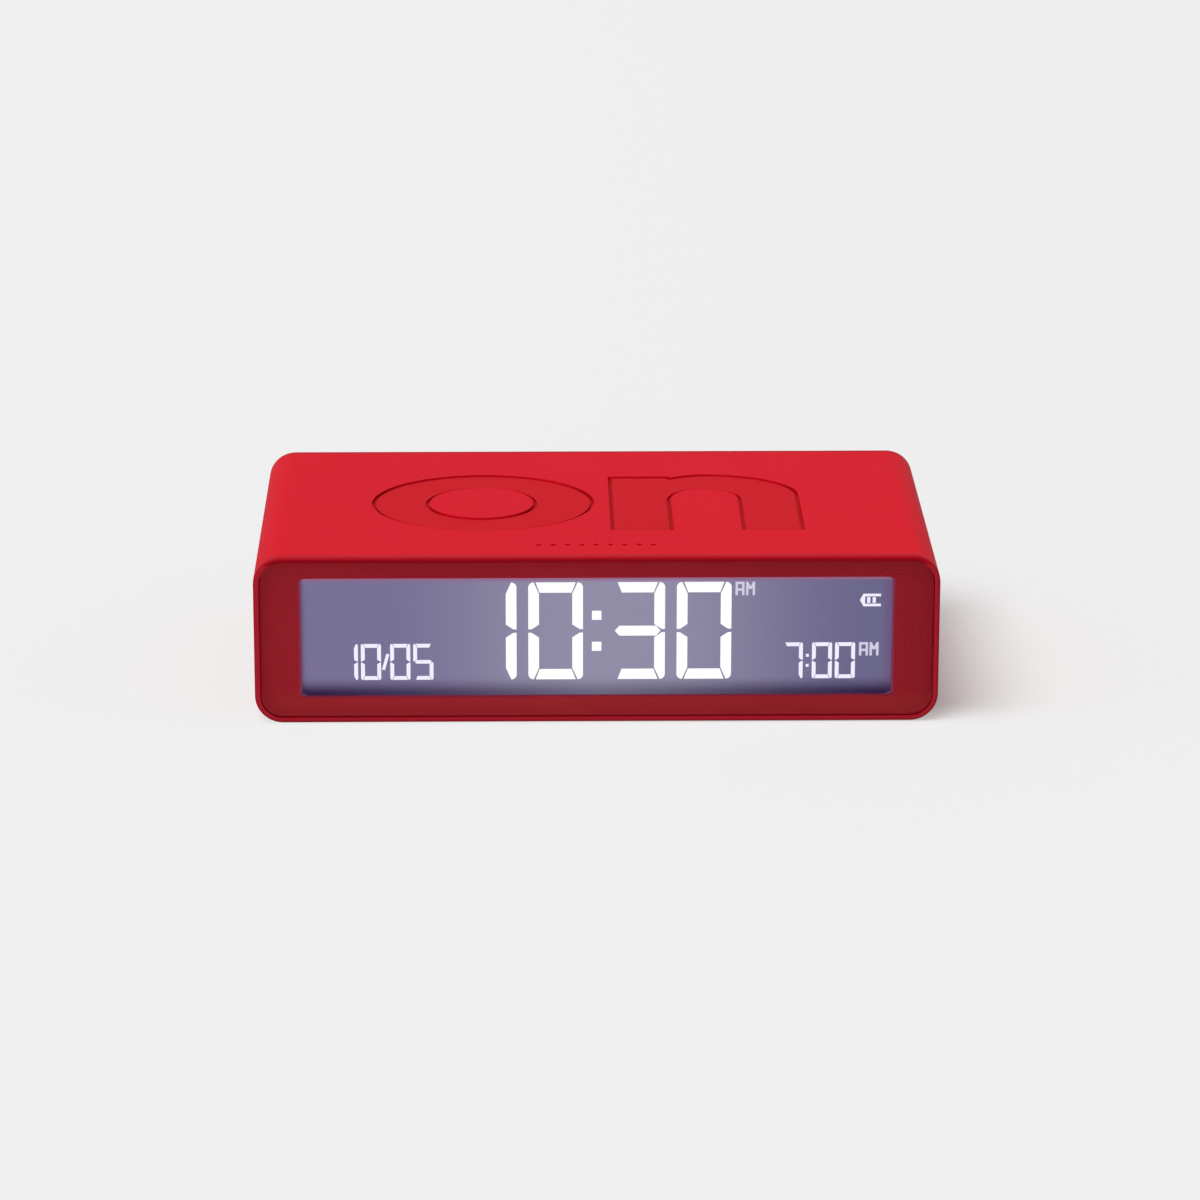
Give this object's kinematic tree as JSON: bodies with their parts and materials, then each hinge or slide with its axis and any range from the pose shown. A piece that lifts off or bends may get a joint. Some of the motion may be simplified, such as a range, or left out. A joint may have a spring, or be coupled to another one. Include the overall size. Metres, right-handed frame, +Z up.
{
  "type": "reversible slab alarm clock",
  "caption": "Flat battery alarm clock in a rounded soft red sleeve, with a window display and large sunk letters; turned over to switch the alarm.",
  "frame": {"origin": "centre of the bottom face, which rests on the table", "axes": "+X along the width to the viewer's right, display faces -Y, +Z up"},
  "size_m": [0.105, 0.06, 0.0265],
  "materials": {
    "sleeve_coating": "soft-touch red coating on moulded plastic",
    "lens_clear": "clear polished acrylic",
    "mask_print": "dark red print behind the lens",
    "tape": "black double-sided foam tape",
    "white_plastic": "white moulded plastic",
    "grey_plastic": "grey moulded plastic",
    "black_plastic": "black moulded plastic",
    "red_plastic": "satin red moulded plastic",
    "lit_segments": "lit white strokes",
    "polariser": "violet polarising film",
    "display_glass": "thin display glass",
    "film": "white optical film",
    "guide_acrylic": "clear light guide",
    "led": "white diode package",
    "zebra": "striped contact rubber",
    "circuit_board": "green solder mask on glass laminate",
    "chip_epoxy": "black epoxy",
    "steel": "zinc plated steel",
    "nickel": "nickel plated spring steel",
    "ceramic_chip": "fired ceramic",
    "copper_foil": "copper foil",
    "cell_jacket": "printed sleeve over a steel can",
    "foam": "black foam",
    "button_rubber": "dark grey satin plastic",
    "copper_wire": "enamelled copper wire",
    "brass_part": "brass",
    "red_insulation": "red wire insulation",
    "black_insulation": "black wire insulation",
    "ribbon": "grey ribbon insulation"
  },
  "bodies": {
    "clock": {"sleeve": "sleeve_coating", "front_lens": "lens_clear", "window_mask": "mask_print", "lens_tape": "tape", "display_holder": "white_plastic", "holder_screws": "steel", "lcd_segments": "lit_segments", "lcd_front_polariser": "polariser", "lcd_front_glass": "display_glass", "lcd_rear_glass": "display_glass", "lcd_rear_polariser": "polariser", "diffuser_film": "film", "backlight_leds": "led", "light_guide": "guide_acrylic", "reflector_film": "film", "zebra_strip": "zebra", "display_board": "circuit_board", "controller_chip": "chip_epoxy", "quartz_crystal": "nickel", "chip_resistors": "ceramic_chip", "chip_capacitors": "ceramic_chip", "touch_foil_upper": "copper_foil", "touch_foil_lower": "copper_foil", "rear_cover": "red_plastic", "rear_cover_screws": "steel", "battery_cell_lower": "cell_jacket", "battery_cell_upper": "cell_jacket", "link_contact": "nickel", "positive_contact": "nickel", "negative_contact": "nickel", "button_board": "circuit_board", "button_board_screws": "steel", "button_switches": "black_plastic", "buzzer_case": "black_plastic", "buzzer_base": "grey_plastic", "buzzer_coil": "copper_wire", "buzzer_disc": "steel", "tilt_switch_case": "black_plastic", "tilt_switch_cap": "grey_plastic", "tilt_switch_pins": "brass_part", "battery_lead_red": "red_insulation", "battery_lead_black": "black_insulation", "buzzer_leads": "black_insulation", "ribbon_cable": "ribbon"},
    "door": {"battery_door": "red_plastic", "door_foam_pad": "foam"},
    "tilt_ball_body": {"tilt_ball": "steel"},
    "mode_button_body": {"mode_button": "button_rubber"},
    "set_button_body": {"set_button": "button_rubber"},
    "minus_button_body": {"minus_button": "button_rubber"},
    "plus_button_body": {"plus_button": "button_rubber"},
    "light_button_body": {"light_button": "button_rubber"}
  },
  "joints": [
    {"name": "battery_door_hinge", "type": "hinge", "parent": "clock", "child": "door", "pos_m": [-0.0185, 0.0282, 0.00365], "axis": [-1, 0, 0], "range_deg": [0, 95]},
    {"name": "mode_button_press", "type": "slide", "parent": "clock", "child": "mode_button_body", "axis": [0, -1, 0], "range_m": [0, 0.0005], "stiffness_N_per_m": 500, "springref_m": -0.001},
    {"name": "set_button_press", "type": "slide", "parent": "clock", "child": "set_button_body", "axis": [0, -1, 0], "range_m": [0, 0.0005], "stiffness_N_per_m": 500, "springref_m": -0.001},
    {"name": "minus_button_press", "type": "slide", "parent": "clock", "child": "minus_button_body", "axis": [0, -1, 0], "range_m": [0, 0.0005], "stiffness_N_per_m": 500, "springref_m": -0.001},
    {"name": "plus_button_press", "type": "slide", "parent": "clock", "child": "plus_button_body", "axis": [0, -1, 0], "range_m": [0, 0.0005], "stiffness_N_per_m": 500, "springref_m": -0.001},
    {"name": "light_button_press", "type": "slide", "parent": "clock", "child": "light_button_body", "axis": [0, -1, 0], "range_m": [0, 0.0005], "stiffness_N_per_m": 500, "springref_m": -0.001},
    {"name": "tilt_ball_fall", "type": "slide", "parent": "clock", "child": "tilt_ball_body", "axis": [0, 0, 1], "range_m": [0, 0.0028]}
  ]
}
